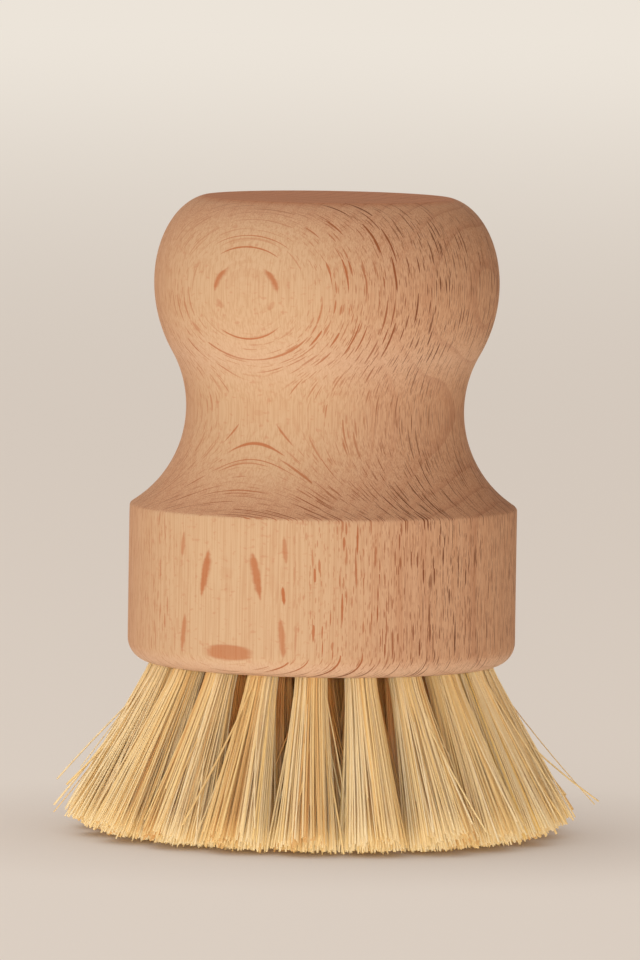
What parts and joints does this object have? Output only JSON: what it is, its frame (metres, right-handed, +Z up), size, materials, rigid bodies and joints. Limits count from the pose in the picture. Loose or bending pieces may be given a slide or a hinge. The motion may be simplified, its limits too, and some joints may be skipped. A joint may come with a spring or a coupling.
{
  "type": "dish brush",
  "caption": "Round palm dish brush: a turned wooden knob grip with a waisted neck above a drum head, set with splayed plant-fibre tufts for scrubbing dishes, pots and vegetables.",
  "frame": {"origin": "on the turning axis, at the level of the bristle tips that the brush stands on", "axes": "+Z up along the turning axis, towards the knob's flat top; -Y is the side seen in the picture"},
  "size_m": [0.0794, 0.0794, 0.0987],
  "materials": {
    "beech": "bare sanded beech, unvarnished, with ray flecks",
    "fibre": "stiff straw-coloured plant fibre, matte, trimmed tips",
    "wire": "drawn staple wire, dull"
  },
  "bodies": {
    "root": {"handle_block": "beech", "outer_bristles": "fibre", "middle_bristles": "fibre", "inner_bristles": "fibre", "centre_bristles": "fibre", "outer_staple_01": "wire", "outer_staple_02": "wire", "outer_staple_03": "wire", "outer_staple_04": "wire", "outer_staple_05": "wire", "outer_staple_06": "wire", "outer_staple_07": "wire", "outer_staple_08": "wire", "outer_staple_09": "wire", "outer_staple_10": "wire", "outer_staple_11": "wire", "outer_staple_12": "wire", "outer_staple_13": "wire", "outer_staple_14": "wire", "outer_staple_15": "wire", "outer_staple_16": "wire", "outer_staple_17": "wire", "outer_staple_18": "wire", "outer_staple_19": "wire", "outer_staple_20": "wire", "middle_staple_01": "wire", "middle_staple_02": "wire", "middle_staple_03": "wire", "middle_staple_04": "wire", "middle_staple_05": "wire", "middle_staple_06": "wire", "middle_staple_07": "wire", "middle_staple_08": "wire", "middle_staple_09": "wire", "middle_staple_10": "wire", "middle_staple_11": "wire", "middle_staple_12": "wire", "middle_staple_13": "wire", "middle_staple_14": "wire", "inner_staple_01": "wire", "inner_staple_02": "wire", "inner_staple_03": "wire", "inner_staple_04": "wire", "inner_staple_05": "wire", "inner_staple_06": "wire", "inner_staple_07": "wire", "centre_staple_01": "wire"}
  },
  "joints": []
}
